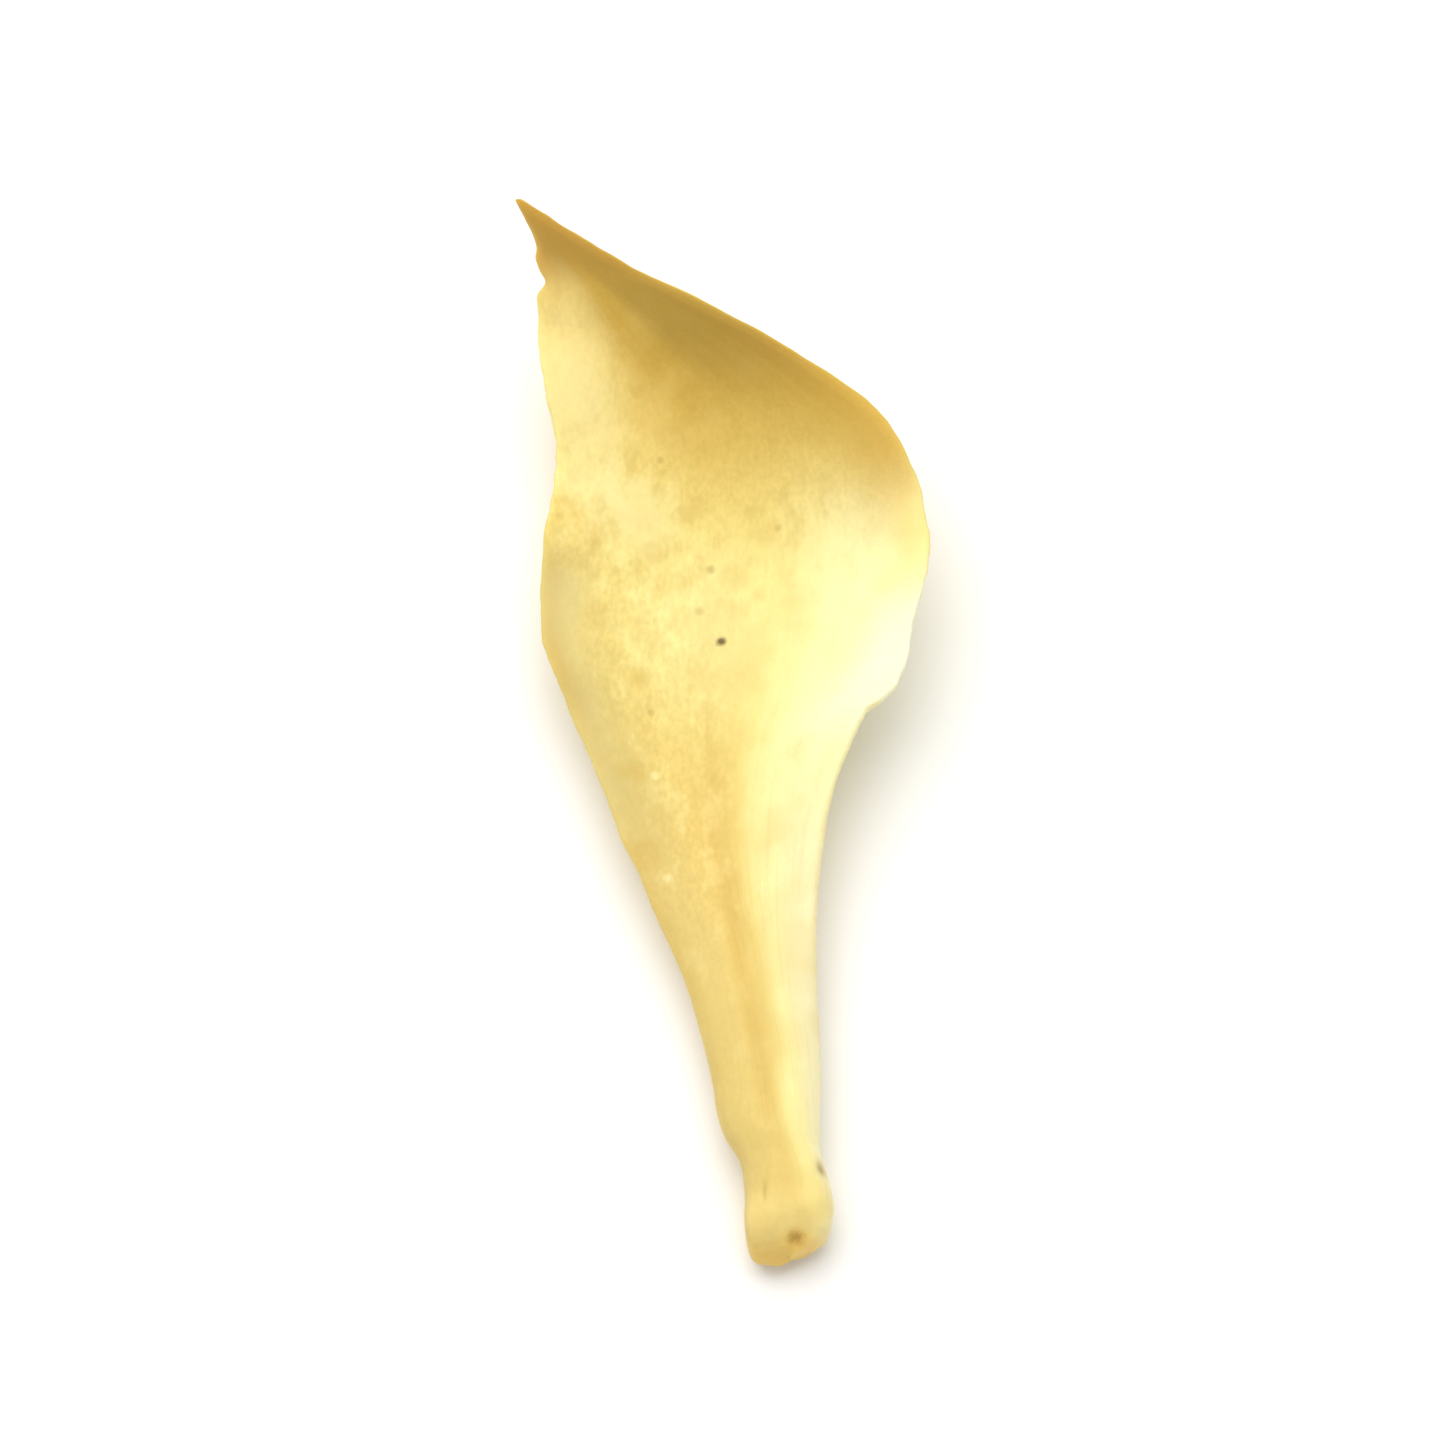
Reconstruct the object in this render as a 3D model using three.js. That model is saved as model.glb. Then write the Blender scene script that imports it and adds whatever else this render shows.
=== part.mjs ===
// One dried lily bulb scale: a fleshy leaf of the bulb, peeled off whole and dried hard.
// It lies on its rounded outer face with the hollow inner face up. +Y runs from the foot,
// where it snapped off the bulb's base plate, to the tip, and +Z is up. Sizes are millimetres.
import * as THREE from "three";

// The scale from foot to tip, a section in each row: where it meets the left and the right
// margin (x, y, z), how far its middle hangs below the line between them, how thick that middle
// is, and how much of a round stalk it is (1) rather than a thin-edged blade (0)
const SECTIONS = [
  { left: [-0.1, -0.15, 1.5], right: [2.9, 0.85, 1.5], hang: 0, thick: 2.5, stalk: 1 }, // broken end
  { left: [-0.3, 1.0, 1.5], right: [3.18, 1.6, 1.5], hang: 0, thick: 3.0, stalk: 1 }, // foot
  { left: [-0.3, 2.5, 1.5], right: [3.02, 2.7, 1.5], hang: 0, thick: 3.0, stalk: 1 },
  { left: [-0.5, 3.6, 1.6], right: [2.7, 3.9, 1.6], hang: 0, thick: 2.8, stalk: 1 }, // collar
  { left: [-1.27, 5.1, 1.8], right: [2.68, 5.1, 1.9], hang: 0.1, thick: 2.7, stalk: 0.95 },
  { left: [-1.75, 7.8, 2.0], right: [2.64, 7.7, 2.2], hang: 0.3, thick: 2.6, stalk: 0.85 }, // neck
  { left: [-2.62, 11.2, 2.2], right: [2.42, 11.0, 2.6], hang: 0.7, thick: 2.5, stalk: 0.65 },
  { left: [-4.2, 14.9, 2.5], right: [2.58, 14.6, 3.1], hang: 1.4, thick: 2.4, stalk: 0.4 },
  { left: [-5.76, 18.7, 2.8], right: [3.12, 18.1, 3.7], hang: 2.2, thick: 2.3, stalk: 0.15 },
  { left: [-7.15, 22.3, 3.2], right: [4.5, 21.6, 4.3], hang: 2.8, thick: 2.2, stalk: 0 },
  { left: [-8.36, 25.6, 3.6], right: [6.35, 24.8, 4.8], hang: 3.15, thick: 2.2, stalk: 0 }, // blade
  { left: [-8.35, 28.9, 3.9], right: [7.05, 28.4, 5.2], hang: 3.3, thick: 2.1, stalk: 0 },
  { left: [-7.9, 32.4, 4.2], right: [6.4, 31.8, 5.5], hang: 3.2, thick: 2.0, stalk: 0 },
  { left: [-8.2, 35.4, 4.5], right: [4.8, 34.5, 5.7], hang: 2.8, thick: 1.9, stalk: 0 },
  { left: [-8.62, 38.1, 4.9], right: [1.9, 36.7, 6.0], hang: 2.1, thick: 1.7, stalk: 0 },
  { left: [-8.7, 40.0, 5.3], right: [-1.6, 38.6, 6.3], hang: 1.2, thick: 1.4, stalk: 0 },
  { left: [-8.62, 41.3, 5.8], right: [-4.7, 40.2, 6.6], hang: 0.6, thick: 1.05, stalk: 0 },
  { left: [-9.0, 42.3, 6.4], right: [-7.2, 41.75, 6.85], hang: 0.2, thick: 0.75, stalk: 0 },
  { left: [-9.6, 43.3, 6.95], right: [-9.3, 43.15, 7.05], hang: 0, thick: 0.5, stalk: 0 }, // tip
];
const EDGE_THICKNESS = 0.6; // the dried margin
const HANG_SQUARENESS = 2.2; // how squarely the hollow turns up into the margins
const STALK_SQUARENESS = { left: 2.4, right: 3.4 }; // the same of the stalk's two sides
const FOOT_SQUARENESS = { more: 2.2, until: [0.02, 0.14] }; // the foot is squarer still
const END_LEAN = 0.35; // how far the broken end leans back, for each millimetre of its height
const REST_DEPTH = 0.2; // how deep the belly is flat where it rests

// Reliefs across the scale: at is from -1 on the left margin to 1 on the right
const NECK_RIDGE = { at: 0.68, width: 0.3, height: 0.25 };
const NECK_GROOVE = { at: 0.05, width: 0.32, height: -0.28 };
const LEFT_BRIM = { from: 0.76, drop: 0.5 }; // the left margin is flattened outwards

// The margins dry wavy, rippling up and down, and are torn in places; at, stretch: distance from the foot
const LEFT_RIPPLES = { height: 0.22, length: 6.0, shift: 1.0 };
const RIGHT_RIPPLES = { height: 0.22, length: 6.6, shift: 2.3 };
const LEFT_DENT = { at: 34.1, width: 1.0, height: 0.15 };
const LEFT_TEAR = { at: 40.4, width: 0.45, height: 0.3 };
const RIGHT_STEP = { height: 0.5, stretch: [21.75, 22.25, 23.3, 25.2] };

// Stretches of the scale, as parts of the way from the foot (0) to the tip (1)
const BROKEN_END = [0, 0.08];
const NECK = [0.2, 0.3, 0.48, 0.62]; // the neck's relief starts, is full, wanes and ends
const BLADE = [0.4, 0.55, 0.78, 0.9]; // and the same of the blade's wavy margins

// The mesh: rings of points along the scale, each with a row on the inner face and one on the outer
const RINGS = 96;
const ACROSS = 24;

// The value at u (0 foot, 1 tip) of a smooth curve through evenly spaced values
function smooth(values, u) {
  const place = Math.min(Math.max(u, 0), 1) * (values.length - 1);
  const i = Math.min(Math.floor(place), values.length - 2);
  const t = place - i;
  const b = values[i];
  const c = values[i + 1];
  const a = i > 0 ? values[i - 1] : 2 * b - c;
  const d = i + 2 < values.length ? values[i + 2] : 2 * c - b;
  return b + 0.5 * t * (c - a + t * (2 * a - 5 * b + 4 * c - d + t * (3 * (b - c) + d - a)));
}

// Smooth curves through one number, or through one point, of each section
const along = (name) => {
  const values = SECTIONS.map((section) => section[name]);
  return (u) => smooth(values, u);
};
const rail = (name) => {
  const axes = [0, 1, 2].map((axis) => SECTIONS.map((section) => section[name][axis]));
  return (u) => new THREE.Vector3(...axes.map((values) => smooth(values, u)));
};
const leftRail = rail("left");
const rightRail = rail("right");
const hangAt = along("hang");
const thickAt = along("thick");
const stalkAt = along("stalk");

const ramp = (x, from, to) => THREE.MathUtils.smoothstep(x, from, to);
const stretch = (u, [from, full, wanes, to]) => ramp(u, from, full) * (1 - ramp(u, wanes, to));
const hump = (x, { at, width, height }) => height * Math.exp(-(((x - at) / width) ** 2));
const wave = (y, { height, length, shift }) => height * Math.sin((2 * Math.PI * (y + shift)) / length);

// The middle sheet of the scale; v runs from -1 at the left margin to 1 at the right
function middle(u, v) {
  const p = leftRail(u).lerp(rightRail(u), (v + 1) / 2);
  const y = p.y;
  const left = Math.max(-v, 0);
  const right = Math.max(v, 0);
  const blade = stretch(u, BLADE);
  p.x += left ** 6 * (hump(y, LEFT_DENT) + hump(y, LEFT_TEAR));
  p.x += right ** 6 * RIGHT_STEP.height * stretch(y, RIGHT_STEP.stretch);
  p.z -= hangAt(u) * (1 - Math.abs(v) ** HANG_SQUARENESS);
  p.z += blade * left ** 3 * wave(y, LEFT_RIPPLES);
  p.z += blade * right ** 3 * wave(y, RIGHT_RIPPLES);
  p.z -= blade * LEFT_BRIM.drop * ramp(left, LEFT_BRIM.from, 1);
  return p;
}

function thickness(u, v) {
  const across = Math.abs(v);
  const centre = thickAt(u);
  const side = v > 0 ? STALK_SQUARENESS.right : STALK_SQUARENESS.left;
  const squareness = side + FOOT_SQUARENESS.more * (1 - ramp(u, ...FOOT_SQUARENESS.until));
  const stalk = centre * Math.sqrt(Math.max(0, 1 - across ** squareness));
  // the blade thins to its margins, which are rounded off over half their own thickness
  const halfWidth = leftRail(u).distanceTo(rightRail(u)) / 2;
  const rounding = Math.min(1, EDGE_THICKNESS / 2 / halfWidth);
  const intoRounding = Math.max(0, across - 1 + rounding) / rounding;
  const rounded = Math.sqrt(Math.max(0, 1 - intoRounding ** 2));
  const blade = THREE.MathUtils.lerp(centre, EDGE_THICKNESS, across ** 2) * rounded;
  return THREE.MathUtils.lerp(blade, stalk, stalkAt(u));
}

// A point on the inner (side 1) or outer (side -1) face
function surface(u, v, side) {
  const step = 1e-3;
  const p = middle(u, v);
  const lengthways = middle(u + step, v).sub(middle(u - step, v));
  const crossways = middle(u, Math.min(v + step, 1)).sub(middle(u, Math.max(v - step, -1)));
  const normal = crossways.cross(lengthways).normalize();
  const height = (side * thickness(u, v)) / 2;
  const neckRelief = stretch(u, NECK) * (hump(v, NECK_RIDGE) + hump(v, NECK_GROOVE));
  p.addScaledVector(normal, side > 0 ? height + neckRelief : height);
  p.y += END_LEAN * height * (1 - ramp(u, ...BROKEN_END));
  return p;
}

// Closed skin: the two faces share their margin points, and each end is a strip between them
function scaleGeometry() {
  const positions = [];
  const index = [];
  const inner = [];
  const outer = [];
  // add a point and return its number
  const add = (p) => positions.push(p.x, p.y, p.z) / 3 - 1;
  for (let i = 0; i <= RINGS; i++) {
    const u = i / RINGS;
    const innerRow = [];
    const outerRow = [];
    for (let j = 0; j <= ACROSS; j++) {
      const v = Math.sin((Math.PI / 2) * ((2 * j) / ACROSS - 1));
      innerRow.push(add(surface(u, v, 1)));
      outerRow.push(j === 0 || j === ACROSS ? innerRow[j] : add(surface(u, v, -1)));
    }
    inner.push(innerRow);
    outer.push(outerRow);
  }
  const triangle = (a, b, c) => {
    if (a !== b && b !== c && c !== a) index.push(a, b, c);
  };
  // both faces are split along the same diagonals
  for (let i = 0; i < RINGS; i++) {
    for (let j = 0; j < ACROSS; j++) {
      const [a, b, c, d] = [inner[i][j], inner[i][j + 1], inner[i + 1][j + 1], inner[i + 1][j]];
      triangle(a, b, c);
      triangle(a, c, d);
      const [e, f, g, h] = [outer[i][j], outer[i][j + 1], outer[i + 1][j + 1], outer[i + 1][j]];
      triangle(e, g, f);
      triangle(e, h, g);
    }
  }
  for (let j = 0; j < ACROSS; j++) {
    triangle(inner[0][j], outer[0][j], outer[0][j + 1]);
    triangle(inner[0][j], outer[0][j + 1], inner[0][j + 1]);
    triangle(inner[RINGS][j], outer[RINGS][j + 1], outer[RINGS][j]);
    triangle(inner[RINGS][j], inner[RINGS][j + 1], outer[RINGS][j + 1]);
  }
  const geometry = new THREE.BufferGeometry();
  geometry.setAttribute("position", new THREE.Float32BufferAttribute(positions, 3));
  geometry.setIndex(index);
  return geometry;
}

// Flattens the belly where it rests, and puts the origin under the middle of the scale
function seat(geometry) {
  const position = geometry.getAttribute("position");
  geometry.computeBoundingBox();
  const floor = geometry.boundingBox.min.z + REST_DEPTH;
  for (let i = 0; i < position.count; i++) {
    position.setZ(i, Math.max(position.getZ(i), floor));
  }
  const centre = geometry.boundingBox.getCenter(new THREE.Vector3());
  geometry.translate(-centre.x, -centre.y, -floor);
  geometry.computeVertexNormals();
  return geometry;
}

const driedFlesh = new THREE.MeshStandardMaterial({
  name: "dried_flesh",
  color: new THREE.Color("#f0d892"),
  roughness: 0.55,
  metalness: 0,
});

const scale = new THREE.Mesh(seat(scaleGeometry()), driedFlesh);
scale.name = "bulb_scale";

const part = new THREE.Group();
part.add(scale);

export default part;
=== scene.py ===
"""A dried lily bulb scale: one fleshy leaf of the bulb, lying hollow side up on a pale table."""
import math

import bpy
import numpy as np
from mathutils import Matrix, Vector, noise


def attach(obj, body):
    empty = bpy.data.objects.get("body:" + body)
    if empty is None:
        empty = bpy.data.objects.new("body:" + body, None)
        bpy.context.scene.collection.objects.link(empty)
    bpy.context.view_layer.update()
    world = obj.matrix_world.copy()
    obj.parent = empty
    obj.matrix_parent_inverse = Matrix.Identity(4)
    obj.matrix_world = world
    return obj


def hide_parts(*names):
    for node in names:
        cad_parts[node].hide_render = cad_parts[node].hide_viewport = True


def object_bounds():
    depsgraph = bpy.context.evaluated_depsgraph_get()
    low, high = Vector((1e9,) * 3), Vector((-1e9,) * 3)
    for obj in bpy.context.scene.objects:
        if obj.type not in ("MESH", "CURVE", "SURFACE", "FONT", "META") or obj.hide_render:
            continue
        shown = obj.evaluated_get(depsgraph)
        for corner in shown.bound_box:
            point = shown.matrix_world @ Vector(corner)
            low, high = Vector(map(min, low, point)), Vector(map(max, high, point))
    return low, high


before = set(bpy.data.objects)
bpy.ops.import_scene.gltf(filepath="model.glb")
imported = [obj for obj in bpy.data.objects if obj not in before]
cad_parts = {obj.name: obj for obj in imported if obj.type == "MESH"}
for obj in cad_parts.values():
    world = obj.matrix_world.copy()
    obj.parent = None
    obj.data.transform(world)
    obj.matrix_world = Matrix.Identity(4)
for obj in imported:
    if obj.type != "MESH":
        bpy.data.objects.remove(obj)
cad_low, cad_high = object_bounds()


# ---------------------------------------------------------------------------------------------
# The dried scale. A thick, starchy leaf that grew in the bulb as one piece and dried hard as
# horn. It hollows into a shallow spoon with thin, wavy margins and narrows to a stalk, which
# snapped off the bulb's base plate and kept a small scar there. Sizes are millimetres.

# foot to tip, as in the solid: left margin, right margin (x, y, z), hang, thickness, stalk
SECTIONS = [
    ((-0.1, -0.3, 1.2), (3.0, 0.5, 1.2), 0, 1.8, 1),  # broken end
    ((-0.3, 1.0, 1.45), (3.18, 1.6, 1.45), 0, 2.8, 1),  # foot
    ((-0.3, 2.5, 1.5), (3.02, 2.7, 1.5), 0, 3.0, 1),
    ((-0.5, 3.6, 1.6), (2.7, 3.9, 1.6), 0, 2.8, 1),  # collar
    ((-1.27, 5.1, 1.8), (2.68, 5.1, 1.9), 0.1, 2.7, 0.95),
    ((-1.75, 7.8, 2.0), (2.64, 7.7, 2.2), 0.3, 2.6, 0.85),  # neck
    ((-2.62, 11.2, 2.2), (2.42, 11.0, 2.6), 0.7, 2.5, 0.65),
    ((-4.2, 14.9, 2.5), (2.58, 14.6, 3.1), 1.4, 2.4, 0.4),
    ((-5.76, 18.7, 2.8), (3.12, 18.1, 3.7), 2.2, 2.3, 0.15),
    ((-7.15, 22.3, 3.2), (4.5, 21.6, 4.3), 2.8, 2.2, 0),
    ((-8.36, 25.6, 3.6), (6.35, 24.8, 4.8), 3.15, 2.2, 0),  # blade
    ((-8.35, 28.9, 3.9), (7.05, 28.4, 5.2), 3.3, 2.1, 0),
    ((-7.9, 32.4, 4.2), (6.4, 31.8, 5.5), 3.2, 2.0, 0),
    ((-8.2, 35.4, 4.5), (4.8, 34.5, 5.7), 2.8, 1.9, 0),
    ((-8.62, 38.1, 4.9), (1.9, 36.7, 6.0), 2.1, 1.7, 0),
    ((-8.7, 40.0, 5.3), (-1.6, 38.6, 6.3), 1.2, 1.4, 0),
    ((-8.62, 41.3, 5.8), (-4.7, 40.2, 6.6), 0.6, 1.05, 0),
    ((-9.0, 42.3, 6.4), (-7.2, 41.75, 6.85), 0.2, 0.7, 0),
    ((-9.6, 43.3, 6.95), (-9.3, 43.15, 7.05), 0, 0.35, 0),  # tip
]
LENGTH = 43  # about, from foot to tip
INNER_EDGE = 0.11  # how far the dried margin stands out from the middle sheet on each face
OUTER_EDGE = 0.12
EDGE_REACH = 0.3  # how far in from the margin the faces start to turn over
HOLLOW_SQUARENESS = 2.2  # how squarely the hollow turns up into the margins
LEFT_SQUARENESS = 2.4  # how square the stalk's two sides are, where 2 is round
RIGHT_SQUARENESS = 3.4
FOOT_SQUARENESS = 2.2  # how much squarer still the foot is
END_LEAN = 0.35  # how far the broken end leans back, for each millimetre of its height
END_BULGE = 0.4
REST_DEPTH = 0.2  # how deep the belly is flattened where it rests
MM = 0.001

# stretches: where each starts, is full, wanes and ends, in parts of the way from foot to tip
BLADE = (0.4, 0.55, 0.78, 0.9)
NECK = (0.2, 0.3, 0.48, 0.62)

# dents and bulges of the margins: how far from the foot, reach, how far to the right
LEFT_DENTS = [
    (16.8, 0.9, -0.13),
    (24.5, 1.1, -0.1),
    (34.1, 1.0, 0.15),
    (40.4, 0.3, 0.35),
    (41.2, 0.25, -0.12),
]
RIGHT_BULGES = [(22.7, 0.35, 0.18), (25.9, 0.6, -0.08)]
RIGHT_STEP = (21.75, 22.25, 23.3, 25.2)  # a torn step, from where it starts to where it ends
STEP_WIDTH = 0.5

# along the neck's inner face, across it from -1 on the left to 1 on the right: at, reach, height
NECK_RIDGE = (0.68, 0.3, 0.25)
NECK_GROOVE = (0.05, 0.32, -0.28)
LEFT_BRIM = (0.76, 1)  # the left margin is flattened outwards from here to here
BRIM_DROP = 0.5

AROUND = 240  # points round each ring, half on the inner face and half on the outer
RINGS = 400
END_RINGS = 16  # rings on the broken end
WORN_RINGS = 11  # rings on each side of its rim that are worn round
WEAR_ROUNDS = 24
TIP_ROUNDING = 0.008  # the share of the scale over which the tip closes


def smooth(column, u):
    """The value at u, 0 at the foot and 1 at the tip, of a smooth curve through a column."""
    along = np.clip(u, 0, 1) * (len(column) - 1)
    i = np.minimum(along.astype(int), len(column) - 2)
    t = along - i
    padded = np.concatenate([[2 * column[0] - column[1]], column, [2 * column[-1] - column[-2]]])
    a, b, c, d = (padded[i + k] for k in range(4))
    return b + 0.5 * t * (c - a + t * (2 * a - 5 * b + 4 * c - d + t * (3 * (b - c) + d - a)))


def ramp(x, start, end):
    """Goes smoothly from 0 at the start to 1 at the end."""
    t = np.clip((x - start) / (end - start), 0, 1)
    return t * t * (3 - 2 * t)


def stretch(u, start, full, wanes, end):
    return ramp(u, start, full) * (1 - ramp(u, wanes, end))


def hump(x, at, width, height=1.0):
    return height * np.exp(-(((x - at) / width) ** 2))


def wave(y, height, length, shift):
    return height * np.sin(2 * np.pi * (y + shift) / length)


def crinkle(y, height, length, seed):
    """Uneven waves along a margin, each about the length given."""
    steps = np.arange(-1, LENGTH + 3, 0.05)
    heights = [height * noise.noise(Vector((step / length, seed, 0.5))) for step in steps]
    return np.interp(y, steps, heights)


columns = [np.array([s[margin][axis] for s in SECTIONS], float) for margin in (0, 1) for axis in range(3)]
hangs, thicks, stalks = (np.array([s[k] for s in SECTIONS], float) for k in (2, 3, 4))


def middle(u, v):
    """The middle sheet of the scale; v is -1 on the left margin and 1 on the right."""
    rails = np.array([smooth(column, u) for column in columns])
    share = (v + 1) / 2
    x, y, z = rails[:3] * (1 - share) + rails[3:] * share
    left = np.maximum(-v, 0)
    right = np.maximum(v, 0)
    blade = stretch(u, *BLADE)
    x = x + left**6 * sum(hump(y, *dent) for dent in LEFT_DENTS)
    x = x + right**6 * sum(hump(y, *bulge) for bulge in RIGHT_BULGES)
    x = x + right**6 * STEP_WIDTH * stretch(y, *RIGHT_STEP)
    # the thin margins are finely crinkled from side to side, and ripple up and down
    x = x + left**8 * blade * (crinkle(y, 0.08, 1.3, 1) + crinkle(y, 0.05, 0.45, 2))
    x = x + right**8 * blade * (crinkle(y, 0.08, 1.4, 3) + crinkle(y, 0.05, 0.45, 4))
    z = z + blade * left**3 * (wave(y, 0.22, 6.0, 1.0) + crinkle(y, 0.2, 2.2, 5))
    z = z + blade * right**3 * (wave(y, 0.22, 6.6, 2.3) + crinkle(y, 0.2, 2.4, 6))
    z = z - smooth(hangs, u) * (1 - np.abs(v) ** HOLLOW_SQUARENESS)
    z = z - blade * BRIM_DROP * ramp(left, *LEFT_BRIM)
    return np.stack([x, y, z], -1)


def half_width(u):
    rails = np.array([smooth(column, u) for column in columns])
    return np.sqrt(((rails[:3] - rails[3:]) ** 2).sum(0)) / 2


def thickness(u, v, side):
    """How far a face lies from the middle sheet; side is 1 on the inner face, -1 on the outer."""
    sideways = np.abs(v)
    centre = smooth(thicks, u) / 2
    edge = np.where(side > 0, INNER_EDGE, OUTER_EDGE) + crinkle(LENGTH * u, 0.05, 1.7, 8)
    squareness = np.where(v > 0, RIGHT_SQUARENESS, LEFT_SQUARENESS)
    squareness = squareness + FOOT_SQUARENESS * (1 - ramp(u, 0.02, 0.14))
    stalk = centre * np.sqrt(np.maximum(0, 1 - sideways**squareness))
    rounding = np.minimum(1, EDGE_REACH / half_width(u))
    rounded = np.sqrt(np.maximum(0, 1 - (np.maximum(0, sideways - 1 + rounding) / rounding) ** 2))
    blade = (centre + (edge - centre) * sideways**2) * rounded
    return blade + (stalk - blade) * smooth(stalks, u)


def unit(vectors):
    return vectors / np.maximum(np.linalg.norm(vectors, axis=-1, keepdims=True), 1e-9)


def surface(u, v, side):
    """Points on the inner face, where side is 1, or on the outer face, where it is -1."""
    step = 1e-3
    lengthways = middle(u + step, v) - middle(u - step, v)
    crossways = middle(u, np.minimum(v + step, 1)) - middle(u, np.maximum(v - step, -1))
    height = side * thickness(u, v, side)
    neck = stretch(u, *NECK) * (hump(v, *NECK_RIDGE) + hump(v, *NECK_GROOVE))
    lift = height + np.where(side > 0, neck, 0)
    point = middle(u, v) + unit(np.cross(crossways, lengthways)) * lift[..., None]
    point[..., 1] += END_LEAN * height * (1 - ramp(u, 0, 0.08))
    return point


# a ball of rings, its poles to become the middle of the broken end and the tip
bpy.ops.object.select_all(action="DESELECT")
bpy.ops.mesh.primitive_uv_sphere_add(segments=AROUND, ring_count=RINGS, radius=1)
scale = bpy.context.object
scale.name = "dried_scale"
ball = np.zeros(len(scale.data.vertices) * 3)
scale.data.vertices.foreach_get("co", ball)
ball = ball.reshape(-1, 3)
ring = np.rint(np.arccos(np.clip(ball[:, 2], -1, 1)) / np.pi * RINGS).astype(int)
place = np.rint(np.arctan2(ball[:, 1], ball[:, 0]) / (2 * np.pi) * AROUND).astype(int) % AROUND

# the rings are drawn out from foot to tip, more closely where the margins turn over
ring_grid, place_grid = np.meshgrid(np.arange(RINGS + 1), np.arange(AROUND), indexing="ij")
u = np.clip((ring_grid - END_RINGS) / (RINGS - END_RINGS), 0, 1)
turn = 2 * place_grid / AROUND  # 0 at the right margin, 1 at the left, 2 back at the right
side = np.where(turn < 1, 1, -1)
half_turn = np.where(turn < 1, turn, 2 - turn)
v = 0.5 * np.cos(np.pi * half_turn) + 0.5 * (1 - 2 * half_turn)
points = surface(u, v, side)

# the broken end closes over its rings, and the tip closes round
end_share = np.clip(ring_grid / END_RINGS, 0, 1)[..., None]
end_middle = points[END_RINGS].mean(0)
points = end_middle + (points - end_middle) * np.where(ring_grid[..., None] < END_RINGS, end_share, 1)
points[..., 1] -= END_BULGE * (1 - end_share[..., 0] ** 2)
into_tip = np.maximum(0, u - 1 + TIP_ROUNDING) / TIP_ROUNDING
tip_share = np.sqrt(np.maximum(0, 1 - into_tip**2))[..., None]
ring_middle = points.mean(1, keepdims=True)
points = ring_middle + (points - ring_middle) * tip_share

# the rim of the broken end is worn round
first = END_RINGS - WORN_RINGS
last = END_RINGS + WORN_RINGS
for _ in range(WEAR_ROUNDS):
    worn = points[first:last]
    neighbours = (points[first - 1 : last - 1] + points[first + 1 : last + 1]) / 2
    worn += (neighbours - worn) / 2


def normals_of(points):
    lengthways = np.gradient(points, axis=0)
    crossways = np.roll(points, -1, 1) - np.roll(points, 1, 1)
    return unit(np.cross(lengthways, crossways))


def grain(points, size, seed):
    """Uneven lumps, about -1 to 1 high and of about the size given."""
    at = points.reshape(-1, 3) / np.array(size) + seed
    return np.array([noise.noise(Vector(p)) for p in at]).reshape(points.shape[:-1])


# the finer relief, raised from the surface: veins and ribs run lengthways, differently on each
# face, lumps and a fine grain lie all over, and the broken end is the roughest
VEIN_HEIGHT = 0.03
RIB_HEIGHT = 0.02
LUMP_HEIGHT = 0.10
GRAIN_HEIGHT = 0.02
BREAK_HEIGHT = 0.10
FINE_BREAK_HEIGHT = 0.05
inner = side > 0
face = np.where(inner, 0.0, 40.0)
from_foot = points[..., 1].copy()
width = half_width(u)
rim = width * (1 - np.abs(v))
end = 1 - ramp(ring_grid.astype(float), END_RINGS - 9, END_RINGS + 12)  # 1 on the broken end
wide_part = ramp(width, 1.5, 6) * (1 - end)


def lines(across, lengthways, seed):
    """Fine lines from foot to tip; the higher the two numbers, the finer and the shorter."""
    return grain(np.stack([v * across, from_foot * lengthways, face], -1), 1, seed) * wide_part


veins = lines(8, 0.05, 3)
ribs = lines(16, 0.09, 7)
lumps = grain(points, (2.6, 4.2, 2.6), 11)
fine = grain(points, (0.5, 0.65, 0.5), 23)
coarse = np.where(inner, 0.4 + 0.6 * (1 - ramp(v, -0.2, 0.5)), 1.2)  # least on the right of the hollow
relief = VEIN_HEIGHT * veins + RIB_HEIGHT * ribs + LUMP_HEIGHT * lumps + GRAIN_HEIGHT * fine * coarse
relief += end * (BREAK_HEIGHT * grain(points, 0.7, 31) + FINE_BREAK_HEIGHT * grain(points, 0.3, 37))

# a small pitted scar on the broken end, and two short cracks behind it; the places are pairs
# of a coordinate and a reach, across, from the foot and, for one crack, up
TOP_ABOVE = 1.2  # lower down there is neither scar nor crack
SCAR_AT = (1.72, 0.2)
SCAR_STRETCH = 1.6  # how much wider than long it is
SCAR_REACH = 0.24
SCAR_DEPTH = 0.16
FAR_OFF = 9  # the highest distance from the scar that a place reads, and all of the underside
LEFT_CRACK = [(0.45, 0.1), (1.8, 0.4)]
LEFT_CRACK_DEPTH = 0.07
RIGHT_CRACK = [(2.7, 0.26), (2.9, 0.34), (2.5, 0.6)]
RIGHT_CRACK_DEPTH = 0.10


def crack(reaches):
    """1 in the middle of a crack, fading out over its reach each way."""
    return math.prod(hump(points[..., axis], *reach) for axis, reach in enumerate(reaches))


top = points[..., 2] > TOP_ABOVE
scar = np.hypot((points[..., 0] - SCAR_AT[0]) / SCAR_STRETCH, points[..., 1] - SCAR_AT[1])
left_crack = crack(LEFT_CRACK)
right_crack = crack(RIGHT_CRACK)
relief -= top * hump(scar, 0, SCAR_REACH, SCAR_DEPTH)
relief -= top * (LEFT_CRACK_DEPTH * left_crack + RIGHT_CRACK_DEPTH * right_crack)
points = points + normals_of(points) * (relief * (1 - ramp(u, 0.97, 1)))[..., None]

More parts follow.
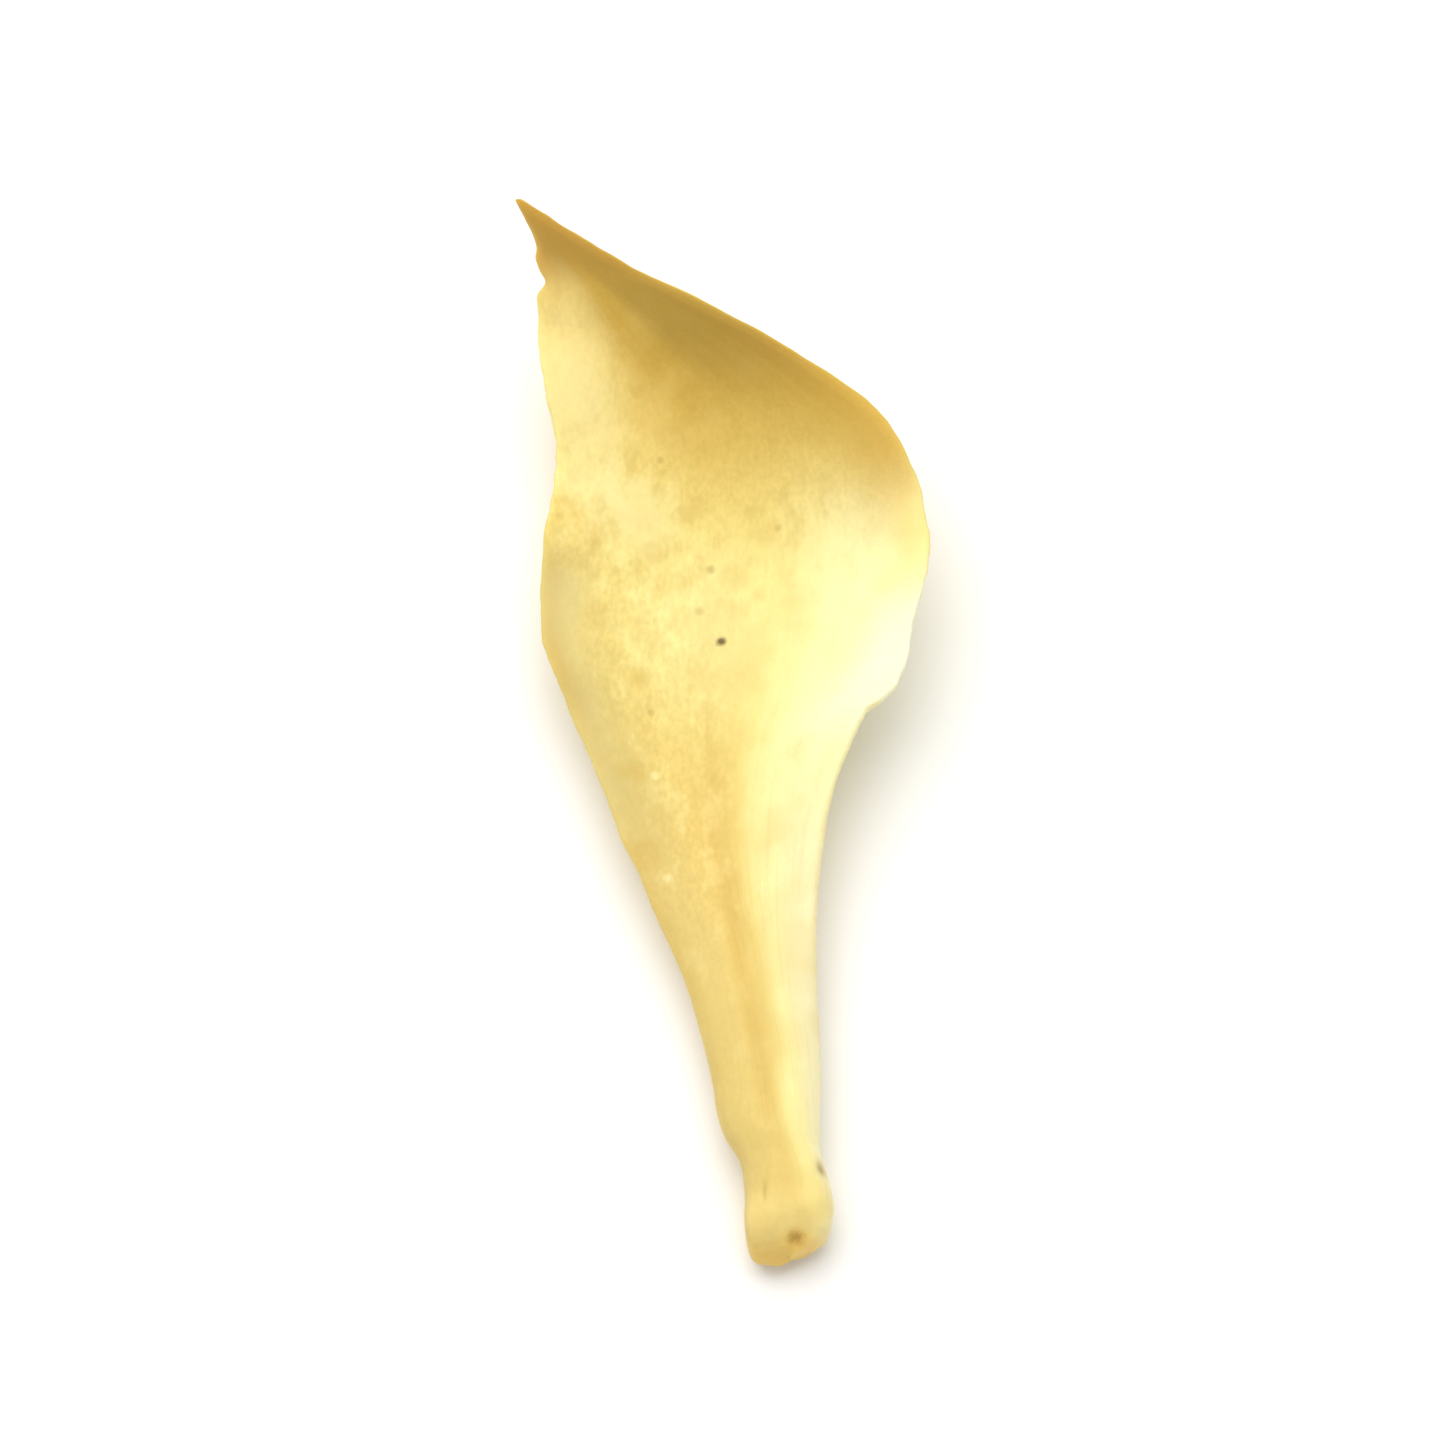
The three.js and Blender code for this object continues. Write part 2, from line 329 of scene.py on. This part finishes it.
# seated where the solid lies, the belly flat on the table
low, high = points.reshape(-1, 3).min(0), points.reshape(-1, 3).max(0)
shift = np.array([cad_high.x / MM - high[0], cad_low.y / MM - low[1], -low[2] - REST_DEPTH])
points = points + shift
points[..., 2] = np.maximum(points[..., 2], 0)

scale.data.vertices.foreach_set("co", (points[ring, place] * MM).astype(np.float32).ravel())
for name, values in (
    ("across", v),
    ("from_foot", from_foot),
    ("rim", rim),
    ("inner", inner.astype(float)),
    ("end", end),
    ("scar", np.where(top, np.minimum(scar, FAR_OFF), FAR_OFF)),
    ("cracks", top * np.maximum(0.4 * left_crack, right_crack)),
):
    attribute = scale.data.attributes.new(name, "FLOAT", "POINT")
    attribute.data.foreach_set("value", values[ring, place].astype(np.float32))
bpy.ops.object.mode_set(mode="EDIT")
bpy.ops.mesh.select_all(action="SELECT")
bpy.ops.mesh.normals_make_consistent(inside=False)
bpy.ops.object.mode_set(mode="OBJECT")
bpy.ops.object.shade_smooth()

# the flesh: waxy cream, warm and mottled towards the left margin and the tip, pale and even
# on the right; places and lengths in the nodes are millimetres
IVORY = (0.95, 0.92, 0.72, 1)
PALE_CREAM = (0.93, 0.90, 0.47, 1)
CREAM = (0.88, 0.77, 0.27, 1)
WARM_CREAM = (0.96, 0.77, 0.29, 1)
GOLD = (0.77, 0.57, 0.17, 1)
OCHRE = (0.60, 0.39, 0.07, 1)
DULL_TAN = (0.62, 0.51, 0.19, 1)
TAN = (0.82, 0.53, 0.12, 1)
BUTTER = (0.92, 0.82, 0.40, 1)
STRAW = (0.94, 0.88, 0.56, 1)
UMBER = (0.50, 0.29, 0.05, 1)
DARK_OCHRE = (0.38, 0.25, 0.05, 1)
BROWN = (0.11, 0.07, 0.01, 1)

flesh = bpy.data.materials.new("dried_flesh")
flesh.use_nodes = True
nodes = flesh.node_tree.nodes
links = flesh.node_tree.links
shader = nodes["Principled BSDF"]


def feed(socket, value):
    """Sets a socket to a number or colour, or links it to another node's output."""
    if isinstance(value, bpy.types.NodeSocket):
        links.new(value, socket)
    else:
        socket.default_value = value


def measure(name):
    """One of the measures kept on the mesh."""
    node = nodes.new("ShaderNodeAttribute")
    node.attribute_name = name
    return node.outputs["Fac"]


def reckon(operation, first, second=0.0, clamp=False):
    node = nodes.new("ShaderNodeMath")
    node.operation = operation
    node.use_clamp = clamp
    feed(node.inputs[0], first)
    feed(node.inputs[1], second)
    return node.outputs[0]


def between(value, start, end, low=0.0, high=1.0):
    """Goes smoothly from low to high as the value goes from start to end."""
    node = nodes.new("ShaderNodeMapRange")
    node.interpolation_type = "SMOOTHSTEP"
    for socket, number in zip(node.inputs, (value, start, end, low, high)):
        feed(socket, number)
    return node.outputs[0]


def near(value, at, reach):
    """1 where the value is at a number, falling smoothly to 0 at its reach."""
    return between(reckon("ABSOLUTE", reckon("SUBTRACT", value, at)), reach, 0)


def both(*masks):
    product = masks[0]
    for mask in masks[1:]:
        product = reckon("MULTIPLY", product, mask)
    return product


def unless(mask):
    return reckon("SUBTRACT", 1, mask)


def spotted(vector, size, detail=2.0, roughness=0.5):
    """Noise from 0 to 1, with spots of about the size given."""
    node = nodes.new("ShaderNodeTexNoise")
    feed(node.inputs["Vector"], vector)
    feed(node.inputs["Scale"], 1 / size)
    feed(node.inputs["Detail"], detail)
    feed(node.inputs["Roughness"], roughness)
    return node.outputs["Fac"]


def laid(mask, under, over):
    """One colour laid over another where the mask is 1."""
    node = nodes.new("ShaderNodeMix")
    node.data_type = "RGBA"
    feed(node.inputs["Factor"], mask)
    colours_in = [socket for socket in node.inputs if socket.type == "RGBA"]
    feed(colours_in[0], under)
    feed(colours_in[1], over)
    return next(socket for socket in node.outputs if socket.type == "RGBA")


def dimmed(colour, share):
    """A colour darkened by a share of itself, or brightened where the share is below 0."""
    node = nodes.new("ShaderNodeVectorMath")
    node.operation = "SCALE"
    feed(node.inputs[0], colour)
    feed(node.inputs["Scale"], unless(share))
    return node.outputs[0]


# where a point lies; across goes from -1 at the left margin to 1 at the right one
in_mm = nodes.new("ShaderNodeVectorMath")
in_mm.operation = "SCALE"
feed(in_mm.inputs["Vector"], nodes.new("ShaderNodeTexCoord").outputs["Object"])
feed(in_mm.inputs["Scale"], 1 / MM)
place_mm = in_mm.outputs[0]
apart = nodes.new("ShaderNodeSeparateXYZ")
feed(apart.inputs[0], place_mm)
height_mm = apart.outputs[2]
across = measure("across")
from_foot_mm = measure("from_foot")
rim_mm = measure("rim")
inside = measure("inner")
broken = measure("end")

# patterns: streaks run from foot to tip, and mottles and grains are a little drawn out that way
streaked = nodes.new("ShaderNodeCombineXYZ")
feed(streaked.inputs[0], reckon("MULTIPLY", across, 9))
feed(streaked.inputs[1], reckon("MULTIPLY", from_foot_mm, 0.08))
feed(streaked.inputs[2], inside)
streaks = spotted(streaked.outputs[0], 0.5, 4, 0.6)
drawn_out = nodes.new("ShaderNodeVectorMath")
drawn_out.operation = "MULTIPLY"
feed(drawn_out.inputs[0], place_mm)
feed(drawn_out.inputs[1], (1, 0.6, 1))
blotches = spotted(place_mm, 3.6)
mottles = spotted(drawn_out.outputs[0], 0.8)
grains = spotted(drawn_out.outputs[0], 0.2, 3, 0.6)

# stretches and sides of the scale
leftness = between(across, 0.45, -0.7)
rightness = between(across, 0.1, 0.75)
upness = between(from_foot_mm, 27, 40)
mid_blade = both(between(from_foot_mm, 15, 21), unless(between(from_foot_mm, 30, 35)))
in_neck = unless(between(from_foot_mm, 15, 23))
low_blade = unless(between(from_foot_mm, 17, 27))
outside = unless(inside)
fainter_outside = between(inside, 0, 1, 0.3, 1)

# pale on the right and in the middle, golden on the left, and browner high up in the hollow, partly the
# flesh's own tone and partly painted shade
colour = laid(both(rightness, mid_blade), CREAM, PALE_CREAM)
colour = laid(both(leftness, 0.4), colour, GOLD)
pale_middle = both(near(across, -0.1, 0.7), near(from_foot_mm, 26, 5.5), inside)
colour = laid(both(pale_middle, 0.35), colour, PALE_CREAM)
# golden high up: partly the flesh's own tone, partly painted shade
colour = laid(both(upness, between(blotches, 0.3, 0.7, 0.6, 0.85)), colour, GOLD)
# ochre in the upper hollow: partly the flesh's own tone, partly painted shade
hollow = both(between(from_foot_mm, 27, 38), between(across, -0.7, 0.0, 0.15, 1.0))
colour = laid(both(hollow, fainter_outside), colour, OCHRE)

# the neck: golden on the left, with a deeper groove, partly ochre of its own and partly painted shade,
# and a pale ridge on the right, whose right edge is painted paler as painted light
colour = laid(both(between(across, 0.58, -0.02), low_blade, 0.95), colour, GOLD)
winding = reckon("ADD", across, between(blotches, 0.3, 0.7, -0.06, 0.06))
# the groove's darker line: partly its own ochre, partly painted shade in the recess
groove = both(near(winding, 0.0, 0.34), low_blade, between(from_foot_mm, 2.5, 7))
patchy = both(between(streaks, 0.2, 0.8, 0.25, 0.45), between(mottles, 0.3, 0.7, 0.6, 1.3))
colour = laid(both(groove, patchy), colour, OCHRE)
ridge = both(between(across, 0.12, 0.6), in_neck, between(from_foot_mm, 2, 8, 0.5, 0.8))
colour = laid(ridge, colour, BUTTER)
# painted light: the neck's right edge is painted paler against the shade it lies in
colour = laid(both(between(across, 0.55, 0.95), in_neck, 0.7), colour, STRAW)
colour = laid(both(between(across, -0.8, -1), in_neck, 0.4), colour, OCHRE)

# soft mottling and a faint grain, strongest on the left and high up, with smudges towards the
# tip and faint lengthways streaks
mottled_left = reckon("ADD", both(leftness, 0.7), 0.2)
mottled = reckon("MAXIMUM", mottled_left, between(from_foot_mm, 28, 32, 0, 0.7))
mottled = both(mottled, between(from_foot_mm, 30, 38, 1, 0.6), between(from_foot_mm, 8, 18, 0.45, 1))
low_mottled = both(mottled, between(from_foot_mm, 27, 33, 1, 0.1))
colour = laid(both(between(mottles, 0.48, 0.66), low_mottled, 0.3), colour, GOLD)
colour = laid(both(between(mottles, 0.48, 0.32), low_mottled, 0.22), colour, PALE_CREAM)
colour = dimmed(colour, both(mottled, between(mottles, 0.3, 0.7, -0.03, 0.03)))
colour = dimmed(colour, both(mottled, between(grains, 0.3, 0.7, -0.065, 0.065)))
smudges = both(between(mottles, 0.52, 0.68), between(from_foot_mm, 26, 31), between(across, 0.9, 0.3))
colour = laid(both(smudges, inside, 0.2), colour, OCHRE)
colour = laid(both(between(blotches, 0.5, 0.7), 0.35), colour, GOLD)
colour = laid(both(between(streaks, 0.5, 0.7), between(from_foot_mm, 15, 23, 0.14, 0.08)), colour, OCHRE)

# painted shade, browner under the upper right margin and by the tip, and at the tip partly painted shade
# and partly its own browner tone
upper_right_shade = both(between(from_foot_mm, 28, 33), between(across, 0.1, 0.4), between(rim_mm, 3.2, 0.3))
colour = laid(both(upper_right_shade, fainter_outside, 0.7), colour, OCHRE)
shade_by_the_tip = both(between(from_foot_mm, 34.5, 38.5), between(across, 0.0, 0.5))
colour = laid(both(shade_by_the_tip, inside, 0.55), colour, DARK_OCHRE)
# the tip: partly its own browner tone, partly painted shade
tip_middle = both(between(from_foot_mm, 39.8, 41.6), between(rim_mm, 0, 0.4, 0.3, 0.7))
colour = laid(tip_middle, colour, DARK_OCHRE)
colour = laid(between(from_foot_mm, 39.4, 41.2, 0, 0.6), colour, UMBER)

# the left margin is a duller tan in the middle, partly its own colour and partly painted shade, with
# painted shade along its edge and a paler band towards the tip, and the right one is ivory at its
# shoulder, partly its own paleness and partly a painted highlight, and warmer above it
# a duller tan on the left margin: partly its own colour, partly painted shade
dull_stretch = both(between(from_foot_mm, 14, 20, 0.4, 1), between(from_foot_mm, 27.5, 30.5, 1, 0))
dull = both(between(rim_mm, 3.0, 0.0), between(across, 0.6, -0.6, 0.1, 0.9), dull_stretch)
colour = laid(dull, colour, DULL_TAN)
# painted shade along the left edge of the lower blade
left_edge_shade = both(between(rim_mm, 1.1, 0.1), between(across, 0, -0.5), near(from_foot_mm, 24.5, 5))
colour = laid(both(left_edge_shade, 0.35), colour, OCHRE)
uneven_rim = reckon("ADD", rim_mm, between(mottles, 0.3, 0.7, -0.15, 0.15))
band = both(between(uneven_rim, 3.8, 1.2), between(across, 0, -0.3), near(from_foot_mm, 36, 5.8))
colour = laid(both(band, 0.45), colour, PALE_CREAM)
# ivory on the right shoulder: partly the flesh's own paleness, partly a painted highlight
shoulder = both(between(rim_mm, 2.2, 0.5), between(across, 0.3, 0.7), near(from_foot_mm, 24, 4.8))
colour = laid(both(shoulder, 0.8), colour, IVORY)
warm_rim = both(between(rim_mm, 1.6, 0.2), between(across, 0.5, 0.8), near(from_foot_mm, 29, 3.6))
colour = laid(both(warm_rim, 0.7), colour, WARM_CREAM)

# the broken end is warm where it turns over, painted lighter there as painted light, and tan lower down
# with painted shade along its bottom edge; it has a dark scar and cracks, and the foot round it is
# faintly mottled
# painted light on the slope where the broken end turns over
lit_turn_over = both(near(from_foot_mm, 0.9, 1.5), between(height_mm, 1.6, 2.4, 0, 0.6))
colour = laid(lit_turn_over, colour, WARM_CREAM)
colour = laid(both(broken, between(height_mm, 2.4, 1.2, 0, 0.75)), colour, TAN)
# painted shade along the bottom edge of the broken end
colour = laid(both(broken, between(height_mm, 1.3, 0.3, 0, 0.5)), colour, UMBER)
foot = near(from_foot_mm, 0.8, 3.2)
colour = laid(both(foot, between(mottles, 0.4, 0.65), 0.13), colour, OCHRE)
scar_mm = measure("scar")
colour = laid(between(scar_mm, 0.55, 0.15, 0, 0.45), colour, TAN)
ragged_scar = reckon("ADD", scar_mm, between(grains, 0.3, 0.7, -0.05, 0.05))
colour = laid(between(ragged_scar, 0.32, 0.02, 0, 0.85), colour, UMBER)
colour = laid(both(measure("cracks"), 0.8), colour, DARK_OCHRE)

# the outer face is more golden, with a few brown scuffs
colour = laid(both(outside, between(grains, 0.25, 0.75, 0.1, 0.4)), colour, GOLD)
scuffs = both(outside, between(blotches, 0.64, 0.76), between(grains, 0.35, 0.6), between(rim_mm, 0.8, 2))
colour = laid(both(scuffs, 0.5), colour, DARK_OCHRE)

# specks and soft smudges on the inner face: x, from the foot, reach, strength, colour
SPECK_REACH = 0.4  # a mark that reaches further is a smudge, with a looser edge
SPECKS = [
    (-6.6, 32.2, 2.2, 0.3, PALE_CREAM),
    (-4.6, 31.0, 2.6, 0.35, PALE_CREAM),
    (-7.9, 26.9, 1.9, 0.45, DULL_TAN),
    (2.2, 0.0, 0.7, 0.3, TAN),
    (-1.22, 25.7, 0.3, 0.9, BROWN),
    (-1.62, 28.85, 0.26, 0.45, DARK_OCHRE),
    (-2.1, 27.05, 0.3, 0.3, DARK_OCHRE),
    (-4.0, 22.6, 0.22, 0.35, DARK_OCHRE),
    (-3.67, 33.45, 0.22, 0.35, DARK_OCHRE),
    (1.08, 30.5, 0.22, 0.35, DARK_OCHRE),
    (-4.5, 24.0, 0.7, 0.35, OCHRE),
    (-6.4, 30.0, 0.7, 0.2, OCHRE),
    (-4.8, 19.9, 0.8, 0.3, OCHRE),
    (-4.2, 16.2, 1.1, 0.4, OCHRE),
    (-6.0, 26.6, 1.0, 0.25, OCHRE),
    (-3.9, 29.5, 0.6, 0.25, OCHRE),
    (-0.65, 28.5, 0.8, 0.25, OCHRE),
    (0.3, 27.7, 0.5, 0.2, OCHRE),
    (0.65, 30.3, 0.8, 0.25, OCHRE),
    (5.5, 27.3, 0.9, 0.35, WARM_CREAM),
    (-3.86, 19.8, 0.28, 0.4, PALE_CREAM),
    (-3.3, 15.2, 0.28, 0.4, PALE_CREAM),
]
flattened = nodes.new("ShaderNodeVectorMath")
flattened.operation = "MULTIPLY"
feed(flattened.inputs[0], place_mm)
feed(flattened.inputs[1], (1, 1, 0))
for x, y, reach, strength, tint in SPECKS:
    distance = nodes.new("ShaderNodeVectorMath")
    distance.operation = "DISTANCE"
    feed(distance.inputs[0], flattened.outputs[0])
    feed(distance.inputs[1], (x + shift[0], y + shift[1], 0))
    if reach > SPECK_REACH:
        rough = min(0.3 * reach, 0.3)
        edge = between(mottles, 0.3, 0.7, -rough, rough)
    else:
        rough = 0.12 * reach
        edge = between(grains, 0.3, 0.7, -rough, rough)
    ragged = reckon("ADD", distance.outputs["Value"], edge)
    colour = laid(both(between(ragged, reach, reach * 0.2, 0, strength), inside), colour, tint)

# waxy and slightly translucent, duller towards the tip, with a fine raised grain
feed(shader.inputs["Base Color"], colour)
duller = between(from_foot_mm, 27, 37, 0, 0.4)
feed(shader.inputs["Roughness"], reckon("ADD", between(grains, 0, 1, 0.45, 0.62), duller, True))
shader.inputs["Subsurface Weight"].default_value = 0.35
shader.inputs["Subsurface Radius"].default_value = (1.0, 0.65, 0.3)
shader.inputs["Subsurface Scale"].default_value = MM
shader.inputs["Specular IOR Level"].default_value = 0.25
bump = nodes.new("ShaderNodeBump")
bump.inputs["Strength"].default_value = 0.6
bump.inputs["Distance"].default_value = 0.03 * MM
feed(bump.inputs["Height"], spotted(place_mm, 0.16, 3, 0.6))
links.new(bump.outputs[0], shader.inputs["Normal"])
scale.data.materials.clear()
scale.data.materials.append(flesh)

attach(scale, "root")
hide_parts("bulb_scale")


# ---------------------------------------------------------------------------------------------
# The table: a plain, matt white sheet, which the scale lies on and nothing is fixed to.
# It is the floor of the scene and no part of the object.
TABLE_SIZE = 4
WHITE = (0.95, 0.95, 0.95, 1)
bpy.ops.object.select_all(action="DESELECT")
bpy.ops.mesh.primitive_plane_add(size=TABLE_SIZE, location=(0, 0, 0))
table = bpy.context.object
table.name = "table"
white = bpy.data.materials.new("white_sheet")
white.use_nodes = True
sheet = white.node_tree.nodes["Principled BSDF"]
sheet.inputs["Base Color"].default_value = WHITE
sheet.inputs["Roughness"].default_value = 0.8
table.data.materials.append(white)


# ---------------------------------------------------------------------------------------------
# Light: a large soft box overhead, beyond the tip and a little to the left, turned to the
# scale, in a bright white room.
SOFT_BOX_AT = Vector((-0.08, 0.17, 0.42))
ROOM_STRENGTH = 0.68
light = bpy.data.lights.new("soft_box", "AREA")
light.shape = "SQUARE"
light.size = 0.50
light.energy = 1.75
light.color = (1.0, 0.98, 0.95)
soft_box = bpy.data.objects.new("soft_box", light)
soft_box.location = SOFT_BOX_AT
soft_box.rotation_euler = (-SOFT_BOX_AT).to_track_quat("-Z", "Y").to_euler()
bpy.context.scene.collection.objects.link(soft_box)

room = bpy.data.worlds.new("room")
room.use_nodes = True
room.node_tree.nodes["Background"].inputs["Color"].default_value = (1, 1, 1, 1)
room.node_tree.nodes["Background"].inputs["Strength"].default_value = ROOM_STRENGTH
bpy.context.scene.world = room
bpy.context.scene.view_settings.view_transform = "Standard"


# ---------------------------------------------------------------------------------------------
# The camera stands beyond the foot, looks along the scale and well down on it, and has a long
# lens with a narrow view.
ELEVATION = math.radians(65)
DISTANCE = 0.285
AIM = Vector((0, 0, 0.0038))
camera = bpy.data.objects.new("camera", bpy.data.cameras.new("camera"))
camera.data.lens = 180
camera.data.clip_start = 0.01
bpy.context.scene.collection.objects.link(camera)
away = Vector((0, -math.cos(ELEVATION), math.sin(ELEVATION)))
camera.location = AIM + away * DISTANCE
camera.rotation_euler = (-away).to_track_quat("-Z", "Y").to_euler()
bpy.context.scene.camera = camera
